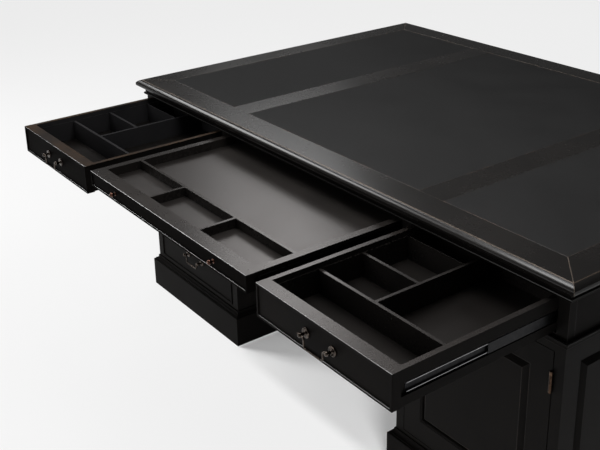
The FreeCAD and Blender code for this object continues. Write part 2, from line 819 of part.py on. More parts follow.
def slides(name, box_x, face, shift, z, half, telescopic):
    """Drawer, middle and cabinet members on both sides; the face is that of the closed drawer."""
    members = {"drawer": [], "middle": [], "cabinet": []}
    end = face + c.front_thickness + c.box_length
    drawer_y = (face - shift + c.drawer_member_start, end - shift - c.drawer_member_short)
    middle_y = (face - shift / 2 + c.middle_start, end - shift / 2 + c.middle_over)
    cabinet_y = (face + c.cabinet_start, end + c.cabinet_over)
    depth = c.member_depth if telescopic else c.deep_member_depth
    middle_half = half + c.ball_gap + c.sheet
    cabinet_half = middle_half + c.ball_gap + c.sheet if telescopic else middle_half
    for side, wall, sign in (("left", box_x[0], -1), ("right", box_x[1], 1)):
        members["drawer"].append(channel(
            f"{name}_drawer_member_{side}", wall, sign, ZERO, depth, drawer_y, z, half))
        if telescopic:
            web = depth + c.ball_gap + c.sheet
            members["middle"].append(channel(
                f"{name}_middle_member_{side}", wall, sign, web, c.lip_start, middle_y, z, middle_half))
        members["cabinet"].append(channel(
            f"{name}_cabinet_member_{side}", wall, sign, c.slide_space, c.outer_lip_start,
            cabinet_y, z, cabinet_half))
    return members


# Pulls and knobs
post_blank = turned("pull_post", (ZERO, ZERO), [
    (c.rosette_radius, ZERO),
    (c.rosette_radius, c.rosette_edge),
    (c.rosette_radius - c.rosette_round, c.rosette_edge + c.rosette_round,
     c.rosette_radius - c.rosette_round, c.rosette_edge),
    (c.neck_flare, c.rosette_edge + c.rosette_round),
    (c.neck_radius, c.neck_start),
    (c.neck_radius, c.ball_start),
    (ZERO, c.post_height, ZERO, c.pivot_height),
    (ZERO, ZERO),
])
pin_hole = cylinder(
    "pull_pin_hole", c.rod_radius + c.pin_clearance, c.rosette_radius * 2,
    -c.rosette_radius, ZERO, c.pivot_height, ALONG_X)
pull_post = cut("drilled_post", post_blank, pin_hole)
knob = turned("knob", (ZERO, ZERO), [
    (c.knob_base, ZERO),
    (c.knob_base, c.knob_edge),
    (c.knob_shoulder, c.knob_shoulder_high),
    (c.knob_neck, c.knob_neck_low),
    (c.knob_neck, c.knob_neck_high),
    (ZERO, c.knob_height, ZERO, c.knob_height / 2),
    (ZERO, ZERO),
])

bail = doc.addObject("PartDesign::Body", "bail_body")
bail_path = plane_sketch(bail, "bail_path", "XZ_Plane")
bail_start = c.post_half_spacing + c.pin_tail
bend_in = c.post_half_spacing - c.pin_run
arm_x = bend_in - c.neck_bend
bar_end = arm_x - c.bail_bend
arm_low = c.bail_bend - c.bail_drop
draw(bail_path, (-bail_start, ZERO), [
    (-bend_in, ZERO),
    (-arm_x, -c.neck_bend, -bend_in, -c.neck_bend),
    (-arm_x, arm_low),
    (-bar_end, -c.bail_drop, -bar_end, arm_low),
    (bar_end, -c.bail_drop),
    (arm_x, arm_low, bar_end, arm_low),
    (arm_x, -c.neck_bend),
    (bend_in, ZERO, bend_in, -c.neck_bend),
    (bail_start, ZERO),
], closed=False)
bail_round = plane_sketch(bail, "bail_round", "YZ_Plane")
circle = bail_round.addGeometry(Part.Circle(Vector(), Vector(0, 0, 1), SIZES["rod_radius"]))
bail_round.addConstraint(Sketcher.Constraint("Coincident", circle, 3, -1, 1))
radius_rule = bail_round.addConstraint(Sketcher.Constraint("Radius", circle, SIZES["rod_radius"]))
bail_round.setExpression(f"Constraints[{radius_rule}]", c.rod_radius.text)
bail_round.setExpression("AttachmentOffset.Base.z", (-bail_start).text)
bail_rod = bail.newObject("PartDesign::AdditivePipe", "bail_rod")
bail_rod.Profile = bail_round
bail_rod.Spine = (bail_path, [f"Edge{n}" for n in range(1, 10)])


def pull(name, x, face, z):
    """Two posts on a drawer's face, and the bail's pivot point."""
    posts = []
    for side, sign in (("left", -1), ("right", 1)):
        posts.append(group(f"{name}_post_{side}", [pull_post], x + c.post_half_spacing * sign, face, z,
                           FACING_FRONT))
    return posts, (x, face - c.pivot_height, z)


def both_sides(name, pieces, far_y):
    """A near node and the same piece turned half round on the far side."""
    near = node(f"near_{name}", pieces)
    node(f"far_{name}", [near], y=far_y, rotation=HALF_ROUND)


open_face = near_face - c.travel
closed_far = carcass_y * 2
drawn_far = closed_far - c.travel
half_drawn_far = closed_far - c.travel / 2
front_high = frieze_rail_high - c.gap
side_front = (frieze_rail_low + c.gap, front_high)
centre_front = (knee_rail_high + c.gap, front_high)
side_heart = (side_front[0] + side_front[1]) / 2 - c.slide_set
centre_heart = (centre_front[0] + c.box_lift + centre_front[1]) / 2
cabinet_members = []
side_beads = bead_ring("side_bead", (muntin_outer + c.gap, stile_inner - c.gap), side_front)

for name, low, high in (
    ("frieze_drawer_left", -stile_inner, -muntin_outer),
    ("frieze_drawer_right", muntin_outer, stile_inner),
):
    span = (low + c.gap, high - c.gap)
    box_span = (low + c.box_gap, high - c.box_gap)
    slide_span = (low + c.slide_space, high - c.slide_space)
    sides = grooved_sides((low, high), side_heart, c.member_half)
    pieces = drawer(name, span, side_front, open_face, box_span, front_high, side_beads,
                    c.side_floor_lift, sides, desk_tray)
    both_sides(name, pieces, drawn_far)
    steel = slides(name, slide_span, near_face, c.travel, side_heart, c.member_half, True)
    pull_z = (side_front[0] + side_front[1]) / 2 + c.frieze_pull_rise
    posts, pivot = pull(name, (low + high) / 2, open_face, pull_z)
    both_sides(f"{name}_fittings", posts + steel["drawer"], drawn_far)
    both_sides(f"{name}_slide_middles", steel["middle"], half_drawn_far)
    both_sides(f"{name}_bail", [group(f"{name}_bail_hung", [bail], *pivot)], drawn_far)
    cabinet_members += steel["cabinet"]

name = "frieze_drawer_centre"
span = (-muntin_inner + c.gap, muntin_inner - c.gap)
box_span = (-muntin_inner + c.box_gap, muntin_inner - c.box_gap)
slide_span = (-muntin_inner + c.slide_space, muntin_inner - c.slide_space)
centre_beads = bead_ring("centre_bead", span, centre_front)
sides = grooved_sides((-muntin_inner, muntin_inner), centre_heart, c.small_member_half)
pieces = drawer(name, span, centre_front, open_face, box_span, front_high, centre_beads,
                c.centre_floor_lift, sides, pen_tray)
both_sides(name, pieces, drawn_far)
steel = slides(name, slide_span, near_face, c.travel, centre_heart, c.small_member_half, True)
knob_x = muntin_inner - c.knob_inset
knob_z = (centre_front[0] + centre_front[1]) / 2
knobs = [
    group("centre_knob_left", [knob], -knob_x, open_face, knob_z, FACING_FRONT),
    group("centre_knob_right", [knob], knob_x, open_face, knob_z, FACING_FRONT),
]
both_sides(f"{name}_fittings", knobs + steel["drawer"], drawn_far)
both_sides(f"{name}_slide_middles", steel["middle"], half_drawn_far)
cabinet_members += steel["cabinet"]

for level, (low, high) in drawer_levels:
    name = f"pedestal_drawer_{level}"
    span = (opening[0] + c.gap, opening[1] - c.gap)
    box_span = (opening[0] + c.slide_space, opening[1] - c.slide_space)
    front_z = (low + c.gap, high - c.gap)
    beads = bead_ring(f"{name}_bead", span, front_z)
    box_high = front_z[1] - c.low_side_drop
    pieces = drawer(name, span, front_z, near_face, box_span, box_high, beads, c.low_floor_lift,
                    side_board, no_tray)
    both_sides(name, pieces, closed_far)
    steel = slides(name, box_span, near_face, ZERO, (low + high) / 2, c.member_half, False)
    pull_z = (low + high) / 2 + c.pull_rise
    posts, pivot = pull(name, (opening[0] + opening[1]) / 2, near_face, pull_z)
    both_sides(f"{name}_fittings", posts + steel["drawer"], closed_far)
    both_sides(f"{name}_bail", [group(f"{name}_bail_hung", [bail], *pivot)], closed_far)
    cabinet_members += steel["cabinet"]

# Cupboard door in the near side of the right pedestal, hung at its outer edge
door_opening = (pedestal_inner + c.post_width, face_x - c.post_width)
door_x = (door_opening[0] + c.door_gap, door_opening[1] - c.hinge_gap)
door_z = (opening_low + c.door_gap, opening_high - c.door_gap)
door_y = (near_face, near_face + c.door_thickness)
sight_x = (door_x[0] + c.door_frame, door_x[1] - c.door_frame)
sight_z = (door_z[0] + c.door_frame, door_z[1] - c.door_frame)
door_strips = sticking_ring("door_sticking", sight_x, sight_z)
both_sides("door_frame", [
    box("door_stile_left", (door_x[0], sight_x[0]), door_y, door_z),
    box("door_stile_right", (sight_x[1], door_x[1]), door_y, door_z),
    box("door_top_rail", sight_x, door_y, (sight_z[1], door_z[1])),
    box("door_base_rail", sight_x, door_y, (door_z[0], sight_z[0])),
    group("door_strips", [door_strips], (sight_x[0] + sight_x[1]) / 2, near_face, sight_z[0]),
], closed_far)
door_slope = c.field_margin - c.sticking - c.floor_margin
door_field = frustum(
    "door_field", (sight_x[0] + c.field_margin, sight_x[1] - c.field_margin), (-c.field_proud, c.sink),
    (sight_z[0] + c.field_margin, sight_z[1] - c.field_margin), -door_slope, at=(ZERO, near_face, ZERO))
door_plate = box("door_plate", sight_x, (near_face + c.sink, near_face + c.sink + c.plate), sight_z)
both_sides("door_panel", [fuse("door_raised_panel", [door_field, door_plate])], closed_far)

axis_x = door_x[1] + c.hinge_gap / 2
axis_y = near_face - c.axis_proud
leaf_y = (axis_y + c.leaf_start, axis_y + c.leaf_depth)
knuckle = c.hinge_length / 5
fixed_leaves = []
moving_leaves = []
for name, low in (
    ("hinge_top", door_z[1] - c.hinge_inset - c.hinge_length),
    ("hinge_low", door_z[0] + c.hinge_inset),
):
    high = low + c.hinge_length
    for part, leaf_x, turns, kept in (
        ("fixed", (door_opening[1] - c.leaf, door_opening[1]), (0, 2, 4), fixed_leaves),
        ("moving", (door_x[1], door_x[1] + c.leaf), (1, 3), moving_leaves),
    ):
        pieces = [box(f"{name}_{part}_plate", leaf_x, leaf_y, (low, high))]
        for turn in turns:
            start = low + knuckle * turn + c.knuckle_gap / 2
            tall_knuckle = knuckle - c.knuckle_gap
            pieces.append(cylinder(f"{name}_{part}_knuckle_{turn}", c.knuckle_radius, tall_knuckle,
                                   axis_x, axis_y, start))
            pieces.append(box(f"{name}_{part}_web_{turn}", leaf_x, (axis_y, leaf_y[0]),
                              (start, start + tall_knuckle)))
        bore = cylinder(f"{name}_{part}_bore", c.pin_radius + c.pin_clearance, c.hinge_length,
                        axis_x, axis_y, low)
        kept.append(cut(f"{name}_{part}_leaf", fuse(f"{name}_{part}_blank", pieces), bore))
    fixed_leaves.append(cylinder(f"{name}_pin", c.pin_radius, c.hinge_length, axis_x, axis_y, low))
door_knob = group("door_knob", [knob], (door_x[0] + sight_x[0]) / 2, near_face,
                  (door_z[0] + door_z[1]) / 2, FACING_FRONT)
both_sides("door_fittings", [door_knob] + moving_leaves, closed_far)

near_hardware = group("near_hardware", cabinet_members + fixed_leaves)
far_hardware = group("far_hardware", [near_hardware], y=closed_far, rotation=HALF_ROUND)
node("cabinet_hardware", [near_hardware, far_hardware])

doc.recompute()
for thing in doc.Objects:
    if "Invalid" in thing.State or "Error" in thing.State:
        raise RuntimeError(f"{thing.Label} did not build: {thing.State}")
os.makedirs("parts", exist_ok=True)
for thing in NODES:
    shape = thing.Shape
    if shape.isNull() or not shape.isValid() or not shape.Solids:
        raise RuntimeError(f"{thing.Label} has no valid shape")
    for solid in shape.Solids:
        if solid.Volume <= 0:
            raise RuntimeError(f"{thing.Label} holds a solid with no volume")
    shape.exportStep(f"parts/{thing.Label}.step")
print(len(NODES), "nodes,", sum(len(thing.Shape.Solids) for thing in NODES), "solids")
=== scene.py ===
import math

import bmesh
import bpy
from mathutils import Matrix, Vector


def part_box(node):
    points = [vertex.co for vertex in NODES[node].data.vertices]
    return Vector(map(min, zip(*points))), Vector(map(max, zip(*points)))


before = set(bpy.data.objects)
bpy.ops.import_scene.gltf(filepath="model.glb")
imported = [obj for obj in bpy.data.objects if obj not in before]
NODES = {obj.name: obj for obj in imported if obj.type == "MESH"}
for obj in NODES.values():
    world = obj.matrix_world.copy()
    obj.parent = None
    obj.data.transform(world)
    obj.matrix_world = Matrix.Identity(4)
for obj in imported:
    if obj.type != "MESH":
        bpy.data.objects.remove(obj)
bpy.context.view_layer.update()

scene = bpy.context.scene
scene.view_settings.view_transform = "Standard"

# Levels and planes of the desk in metres; at rest the near frieze drawers are open
DESK_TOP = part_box("top_rail_near")[1].z
NEAR_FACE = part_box("frieze_frame")[0].y
FAR_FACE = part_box("frieze_frame")[1].y
DESK_MIDDLE = (NEAR_FACE + FAR_FACE) / 2
BEAD_STAND = NEAR_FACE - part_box("near_pedestal_drawer_top")[0].y
OPEN_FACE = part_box("near_frieze_drawer_left")[0].y + BEAD_STAND
RIM_SLACK = 0.0008
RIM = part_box("near_frieze_drawer_left")[1].z - RIM_SLACK
CENTRE_FLOOR = 0.691


# Materials
class Tree:
    """A material's node tree with short ways to add and join nodes."""

    def __init__(self, name):
        self.material = bpy.data.materials.new(name)
        self.material.use_nodes = True
        self.nodes = self.material.node_tree.nodes
        self.shader = self.nodes["Principled BSDF"]
        self.place = self.add("TexCoord").outputs["Object"]

    def fill(self, node, values):
        """Set inputs by their names, written with underscores for spaces."""
        for name, value in values.items():
            node.inputs[name.replace("_", " ")].default_value = value

    def add(self, kind, **values):
        """A new node of one kind, with these values on its inputs."""
        node = self.nodes.new(f"ShaderNode{kind}")
        self.fill(node, values)
        return node

    def join(self, source, target):
        """Link a node's output, or set a colour or a plain value."""
        if isinstance(source, bpy.types.NodeSocket):
            self.material.node_tree.links.new(source, target)
        else:
            target.default_value = (*source, 1.0) if isinstance(source, tuple) else source

    def split(self, vector):
        """A vector's parts, by the names X, Y and Z."""
        node = self.add("SeparateXYZ")
        self.join(vector, node.inputs["Vector"])
        return node.outputs

    def noise(self, scale, detail, roughness, stretch=None, distortion=0.0):
        """Noise from 0 to 1; stretch gives each axis a scale of its own."""
        node = self.add("TexNoise", Scale=scale, Detail=detail, Roughness=roughness,
                        Distortion=distortion)
        place = self.place
        if stretch:
            mapping = self.add("Mapping", Scale=stretch)
            self.join(place, mapping.inputs["Vector"])
            place = mapping.outputs["Vector"]
        self.join(place, node.inputs["Vector"])
        return node.outputs["Fac"]

    def cells(self, scale):
        """Distance to the edges of irregular cells."""
        node = self.add("TexVoronoi", Scale=scale)
        node.feature = "DISTANCE_TO_EDGE"
        self.join(self.place, node.inputs["Vector"])
        return node.outputs["Distance"]

    def ramp(self, source, *stops):
        """A colour that runs from the first of two stops to the second."""
        node = self.add("ValToRGB")
        for element, (position, colour) in zip(node.color_ramp.elements, stops):
            element.position = position
            element.color = (*colour, 1.0)
        self.join(source, node.inputs["Fac"])
        return node.outputs["Color"]

    def span(self, source, low, high, start=0.3, stop=0.7):
        """A value that runs from low to high while the source runs from start to stop."""
        node = self.add("MapRange", From_Min=start, From_Max=stop, To_Min=low, To_Max=high)
        self.join(source, node.inputs["Value"])
        return node.outputs["Result"]

    def math(self, operation, *values):
        node = self.add("Math")
        node.operation = operation
        for socket, value in zip(node.inputs, values):
            self.join(value, socket)
        return node.outputs["Value"]

    def blend(self, factor, a, b, how="MIX"):
        """Two colours mixed; a mix node's colours are inputs 6 and 7 and output 2."""
        node = self.add("Mix")
        node.data_type = "RGBA"
        node.blend_type = how
        self.join(factor, node.inputs["Factor"])
        self.join(a, node.inputs[6])
        self.join(b, node.inputs[7])
        return node.outputs[2]

    def top_faces(self, level, fade=0.001):
        """1 on faces that look up at a height above level, 0 on the rest."""
        turn = self.split(self.add("NewGeometry").outputs["Normal"])
        up = self.span(turn["Z"], 0.0, 1.0, start=0.80, stop=0.97)
        height = self.split(self.place)["Z"]
        high = self.span(height, 0.0, 1.0, start=level - fade, stop=level)
        return self.math("MULTIPLY", up, high)

    def bump(self, height, distance, strength, under=None):
        """Normals of a relief, laid over those of a relief under it."""
        node = self.add("Bump", Strength=strength, Distance=distance)
        self.join(height, node.inputs["Height"])
        if under is not None:
            self.join(under, node.inputs["Normal"])
        return node.outputs["Normal"]

    def finish(self, colour, roughness, normal, **values):
        """Join the shader's inputs, set its other values and give the material."""
        self.join(colour, self.shader.inputs["Base Color"])
        self.join(roughness, self.shader.inputs["Roughness"])
        self.join(normal, self.shader.inputs["Normal"])
        self.fill(self.shader, values)
        return self.material


BLACK = (0.0, 0.0, 0.0)
WHITE = (1.0, 1.0, 1.0)
DEEP_PAINT = (0.0053, 0.0049, 0.0046)
THIN_PAINT = (0.0086, 0.0076, 0.0070)
FIBRE_PAINT = (0.0120, 0.0100, 0.0088)
STREAK_SHARE = 0.20
EDGE_PAINT = (0.0095, 0.0088, 0.0084)
RUBBED_BROWN = (0.046, 0.026, 0.012)
UNDERCOAT = (0.040, 0.024, 0.015)
DARK_HIDE = (0.0128, 0.0127, 0.0127)
PALE_HIDE = (0.0180, 0.0178, 0.0178)
ALONG = {"x": (7.0, 330.0, 330.0), "y": (330.0, 7.0, 330.0), "z": (330.0, 330.0, 7.0)}
CAST = (300.0, 300.0, 300.0)
DRAWN = (600.0, 10.0, 600.0)


def painted_wood(name, grain, rub=0.0, rough=(0.34, 0.48), ior=1.09, tone=1.0, relief=0.16,
                 sheen=WHITE, cast=WHITE):
    """Black satin paint over filled grain; rub is how much brown shows on drawer rims, and cast is
    a tint on the paint, used for painted skylight.
    """
    t = Tree(name)
    fibres = t.noise(scale=1.0, detail=4.0, roughness=0.6, stretch=ALONG[grain])
    clouds = t.noise(scale=5.0, detail=4.0, roughness=0.6)
    specks = t.noise(scale=90.0, detail=3.0, roughness=0.5)
    deep = tuple(tone * part * tint for part, tint in zip(DEEP_PAINT, cast))
    thin = tuple(tone * part * tint for part, tint in zip(THIN_PAINT, cast))
    black = t.ramp(clouds, (0.30, deep), (0.70, thin))
    streak = t.ramp(fibres, (0.42, BLACK), (0.68, WHITE))
    colour = t.blend(t.math("MULTIPLY", streak, STREAK_SHARE), black, FIBRE_PAINT)
    if rub:
        thinned = t.span(clouds, 0.25, 1.0, start=0.36, stop=0.62)
        patch = t.math("MULTIPLY", t.top_faces(RIM), thinned)
        worn = t.math("MULTIPLY", patch, t.span(fibres, rub / 2, rub, start=0.35, stop=0.65))
        colour = t.blend(worn, colour, RUBBED_BROWN)
    roughness = t.math("ADD", t.span(clouds, *rough), t.span(specks, -0.008, 0.008))
    normal = t.bump(specks, distance=0.00004, strength=0.02)
    normal = t.bump(fibres, distance=0.00005, strength=relief, under=normal)
    return t.finish(colour, roughness, normal, IOR=ior, Specular_Tint=(*sheen, 1.0))


def worn_edge(name, brown=UNDERCOAT, least=0.0):
    """Paint thinned on a corner, with the brown undercoat in places, or all along from least."""
    t = Tree(name)
    patches = t.noise(scale=22.0, detail=4.0, roughness=0.65)
    fine = t.noise(scale=240.0, detail=3.0, roughness=0.6)
    shown = t.span(patches, least, 1.0, start=0.42, stop=0.66)
    broken = t.span(fine, max(least, 0.35), 1.0, start=0.35, stop=0.6)
    colour = t.blend(t.math("MULTIPLY", shown, broken), EDGE_PAINT, brown)
    roughness = t.span(patches, 0.26, 0.42)
    normal = t.bump(fine, distance=0.0001, strength=0.3)
    return t.finish(colour, roughness, normal, IOR=1.28)


def leather(name):
    """Charcoal desk leather: fine pebble grain with painted shade in its creases, soft mottling
    and slight polish.
    """
    t = Tree(name)
    pebble = t.cells(scale=520.0)
    pores = t.noise(scale=900.0, detail=2.0, roughness=0.5)
    mottle = t.noise(scale=6.5, detail=5.0, roughness=0.62)
    smears = t.noise(scale=1.6, detail=3.0, roughness=0.5, distortion=0.4)
    base = t.ramp(mottle, (0.28, DARK_HIDE), (0.72, PALE_HIDE))
    # painted shade: the hide is darker along the pebbles' creases
    crease_shade = t.span(pebble, 0.70, 1.0, start=0.0, stop=0.22)
    colour = t.blend(1.0, base, crease_shade, how="MULTIPLY")
    roughness = t.math("ADD", t.span(smears, 0.56, 0.66), t.span(mottle, -0.04, 0.04))
    normal = t.bump(pores, distance=0.00008, strength=0.35)
    domes = t.span(pebble, 0.0, 1.0, start=0.0, stop=0.25)
    normal = t.bump(domes, distance=0.00022, strength=0.45, under=normal)
    return t.finish(colour, roughness, normal, IOR=1.10)


def metal(name, dark, bright, rough, grain=CAST):
    """Metal with a dark, coarser patina in patches and a fine drawn or cast grain."""
    t = Tree(name)
    smooth, coarse = rough
    patina = t.noise(scale=130.0, detail=5.0, roughness=0.65)
    lines = t.noise(scale=1.0, detail=4.0, roughness=0.6, stretch=grain)
    colour = t.ramp(patina, (0.34, dark), (0.66, bright))
    roughness = t.math("ADD", t.span(patina, coarse, smooth), t.span(lines, -0.04, 0.04))
    normal = t.bump(lines, distance=0.00008, strength=0.30)
    return t.finish(colour, roughness, normal, Metallic=1.0)


WARM = (1.0, 0.87, 0.83)
# blue tint on the paint, a painted skylight in the near left drawer
SKYLIGHT_TINT = (0.92, 1.0, 1.14)

# paint, by the way of its grain and by its place
WOOD_X = painted_wood("paint_grain_x", "x", ior=1.07, tone=0.82)
WOOD_Y = painted_wood("paint_grain_y", "y")
WOOD_Z = painted_wood("paint_grain_z", "z")
TOP_X = painted_wood("top_paint_grain_x", "x", rough=(0.25, 0.29), ior=1.25, relief=0.03)
TOP_Y = painted_wood("top_paint_grain_y", "y", rough=(0.25, 0.29), ior=1.25, relief=0.03)
GLOSS = painted_wood("rounded_edge_paint", "x", rough=(0.20, 0.26), ior=1.32)
BEAD = painted_wood("bead_paint", "x", rough=(0.26, 0.32), ior=2.6)
# a darker copy of the paint: painted shade on the left and centre frieze drawers' fronts and outer
# sides
PAINTED_SHADE_FRONT = painted_wood("shaded_front_paint", "x", ior=1.03, tone=0.45)

# lacquer inside the drawers
LACQUER = painted_wood("drawer_lacquer", "x", rub=0.04, rough=(0.25, 0.29), ior=1.30, tone=1.3,
                       relief=0.40, sheen=WARM)
# the near left drawer's lacquer: brown rubbed rims, and a lighter, bluer tone inside as painted
# skylight
SKYLIT_RUBBED_LACQUER = painted_wood("drawer_lacquer_rubbed_and_skylit", "x", rub=0.85, rough=(0.27, 0.36),
                              ior=1.09, tone=2.5, cast=SKYLIGHT_TINT)
LOW_FLOOR = painted_wood("low_floor_lacquer", "x", rough=(0.30, 0.35), ior=1.17, sheen=WARM)
TRAY_FLOOR = painted_wood("tray_floor_lacquer", "x", rough=(0.30, 0.35), ior=1.37, tone=1.6,
                          relief=0.30, sheen=WARM)

# corners rubbed thin, and leather
WORN = worn_edge("paint_worn_edge")
WORN_PALE = worn_edge("top_paint_worn_edge", brown=(0.070, 0.058, 0.050))
MITRE = worn_edge("mitre_worn_edge", brown=(0.125, 0.096, 0.073), least=0.75)
LEATHER = leather("desk_leather")
LEATHER_EDGE = worn_edge("leather_cut_edge", brown=(0.075, 0.041, 0.025))

# metals
# a darker copy of the bronze for the pedestal drawers' pulls and bails: painted shade
SHADED_PEDESTAL_BRONZE = metal("shaded_bronze", dark=(0.010, 0.008, 0.007), bright=(0.090, 0.070, 0.056),
                    rough=(0.20, 0.36))
BRONZE = metal("dark_bronze", dark=(0.012, 0.010, 0.008), bright=(0.095, 0.076, 0.064),
               rough=(0.11, 0.22))
HINGE = metal("hinge_bronze", dark=(0.012, 0.008, 0.006), bright=(0.105, 0.064, 0.042),
              rough=(0.22, 0.36))
COPPER = metal("copper_bronze", dark=(0.020, 0.009, 0.006), bright=(0.125, 0.060, 0.042),
               rough=(0.14, 0.26))
STEEL = metal("slide_steel", dark=(0.230, 0.230, 0.235), bright=(0.420, 0.420, 0.428),
              rough=(0.22, 0.34), grain=DRAWN)
# black for the slides' webs and undersides: partly black paint, partly painted shade
SLIDE_BLACK_AND_SHADE = metal("slide_black_and_shade", dark=(0.007, 0.007, 0.008), bright=(0.015, 0.015, 0.016),
                    rough=(0.30, 0.44), grain=DRAWN)

# Frame nodes: their finish and small rounded corners, which take slot 1
WORN_SLOT = 1
SAME_PLACE = 0.00001
CORNER_ANGLE = math.radians(40)
CORNER_STEPS = 2
FINE_EASE = 0.0004
EASE = 0.0005
BOARD_EASE = 0.0006
MITRE_EASE = 0.0007
LEATHER_EASE = 0.0009

# the other slots of painted pieces with gloss, of drawers and of metal pieces
PAINT_SLOT, GLOSS_SLOT = 0, 2
FRONT_SLOT, BOX_SLOT, BEAD_SLOT, TRAY_SLOT, LOW_SLOT = 0, 2, 3, 4, 5
PULL_SLOT, LEAF_SLOT = 0, 1

# depths behind a drawer's face where its box starts, its beads end and its slides start
BOX_DEPTH = 0.0005
BEAD_DEPTH = -0.0004
SLIDE_DEPTH = 0.010

# sizes that tell other faces of a node apart
OUTER_SIDE = 0.012
FLOOR_SLACK = 0.002
FLOOR_DROP = 0.020
LIP_HEIGHT = 0.004
HANGING_EDGE = 0.850
LEAF_DEPTH = 0.035
DOOR_HEAD = 0.600

# part of the normal along an axis from which a face is an upper round, faces that way or is flat
EDGE_ROUND = 0.20
MOULDING_ROUND = 0.25
BEAD_ROUND = 0.30
FACING = 0.5
FLAT = 0.985


def solids(mesh):
    """Each solid's corners and their places: its polygons follow each other and close."""
    places = [tuple(round(part, 6) for part in vertex.co) for vertex in mesh.vertices]
    corners, unpaired = set(), set()
    for polygon in mesh.polygons:
        around = list(polygon.vertices)
        corners.update(around)
        for a, b in zip(around, around[1:] + around[:1]):
            unpaired ^= {frozenset((places[a], places[b]))}
        if not unpaired:
            yield corners, {places[corner] for corner in corners}
            corners = set()


def weld_solids(obj):
    """Weld each solid's own corners; solids that touch keep their own edges."""
    taken = []
    for corners, places in solids(obj.data):
        free = [index for index, used in enumerate(taken) if not used & places]
        if not free:
            free = [len(taken)]
            taken.append(set())
            obj.vertex_groups.new(name=f"solids_{free[0]}")
        taken[free[0]] |= places
        obj.vertex_groups[free[0]].add(sorted(corners), 1.0, "REPLACE")
    for group in obj.vertex_groups:
        weld = obj.modifiers.new(f"weld_{group.name}", "WELD")
        weld.vertex_group = group.name
        weld.merge_threshold = SAME_PLACE


def soften(obj, width, clamp):
    """Round the corners; without clamp the width holds beside small faces too."""
    weld_solids(obj)
    bevel = obj.modifiers.new("eased_edges", "BEVEL")
    bevel.width = width
    bevel.segments = CORNER_STEPS
    bevel.limit_method = "ANGLE"
    bevel.angle_limit = CORNER_ANGLE
    bevel.use_clamp_overlap = clamp
    bevel.material = WORN_SLOT
    normals = obj.modifiers.new("even_normals", "WEIGHTED_NORMAL")
    normals.keep_sharp = False


def dress(name, materials, width=0.0, pick=None, clamp=True):
    """Give a node its materials, each polygon's slot by pick, and rounded corners."""
    obj = NODES[name]
    obj.data.materials.clear()
    for material in materials:
        obj.data.materials.append(material)
    for polygon in obj.data.polygons:
        polygon.material_index = pick(polygon) if pick else 0
        polygon.use_smooth = True
    if width:
        soften(obj, width, clamp)


def slide(name, bright, dark):
    """Slides are bright steel on their lips, edges and ends; their black webs are partly black
    paint, partly painted shade, and faces that look down are black as painted shade.
    """
    corners = NODES[name].data.vertices

    def pick(polygon):
        heights = [corners[index].co.z for index in polygon.vertices]
        web = abs(polygon.normal.x) > FACING and max(heights) - min(heights) > LIP_HEIGHT
        return dark if web or polygon.normal.z < -FACING else bright
    return pick


def hinge_or_slide(name):
    """Hinge leaves beside the doors' hanging edges, slides elsewhere."""
    steel = slide(name, bright=0, dark=2)

    def pick(polygon):
        centre = polygon.center
        near = centre.x > HANGING_EDGE and centre.y < NEAR_FACE + LEAF_DEPTH
        far = centre.x < -HANGING_EDGE and centre.y > FAR_FACE - LEAF_DEPTH
        return LEAF_SLOT if (near or far) and centre.z < DOOR_HEAD else steel(polygon)
    return pick


def fitting(name, face, inward):
    """Pulls before a face, slides behind it."""
    steel = slide(name, bright=1, dark=2)

    def pick(polygon):
        depth = (polygon.center.y - face) * inward
        return steel(polygon) if depth > SLIDE_DEPTH else PULL_SLOT
    return pick


def front_and_box(name, face, inward):
    """Paint on a drawer's front and outer sides, gloss on its beads' tops, lacquer inside."""
    low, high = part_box(name)
    middle = (low[0] + high[0]) / 2
    half = (high[0] - low[0]) / 2

    def pick(polygon):
        depth = (polygon.center.y - face) * inward
        height = polygon.center.z
        if depth > BOX_DEPTH:
            outward = polygon.normal.x * (polygon.center.x - middle)
            if polygon.normal.z > FACING and abs(height - CENTRE_FLOOR) < FLOOR_SLACK:
                return TRAY_SLOT
            if polygon.normal.z > FACING and height < CENTRE_FLOOR - FLOOR_DROP:
                return LOW_SLOT
            return FRONT_SLOT if outward > half - OUTER_SIDE else BOX_SLOT
        if depth < BEAD_DEPTH and polygon.normal.z > BEAD_ROUND:
            return BEAD_SLOT if polygon.normal.z < FLAT else BOX_SLOT
        return FRONT_SLOT
    return pick


def rounded_edge(polygon):
    """Gloss on the upper rounds of the top's edge."""
    upper_round = EDGE_ROUND < polygon.normal.z < FLAT
    return GLOSS_SLOT if upper_round and polygon.center.z < DESK_TOP else PAINT_SLOT


def moulding(polygon):
    """Gloss on the upper faces of the carcass mouldings."""
    return GLOSS_SLOT if polygon.normal.z > MOULDING_ROUND else PAINT_SLOT


for name, paint in (
    ("top_rail_near", TOP_X),
    ("top_rail_far", TOP_X),
    ("top_rail_left", TOP_Y),
    ("top_rail_right", TOP_Y),
):
    dress(name, [paint, MITRE, GLOSS], MITRE_EASE, rounded_edge, clamp=False)
dress("top_core", [WOOD_X, WORN], BOARD_EASE)
dress("top_cross_rails", [TOP_Y, WORN], EASE)
dress("writing_panels", [LEATHER, LEATHER_EDGE], LEATHER_EASE)
dress("frieze_frame", [WOOD_X, WORN], EASE)
dress("frieze_partitions", [WOOD_Y, WORN], EASE)
dress("carcass_mouldings", [WOOD_X, WORN, GLOSS], FINE_EASE, moulding)
dress("plinths", [WOOD_X, WORN], EASE)
dress("pedestal_left", [WOOD_Z, WORN], EASE)
dress("pedestal_right", [WOOD_Z, WORN], EASE)
dress("cabinet_hardware", [STEEL, HINGE, SLIDE_BLACK_AND_SHADE], pick=hinge_or_slide("cabinet_hardware"))

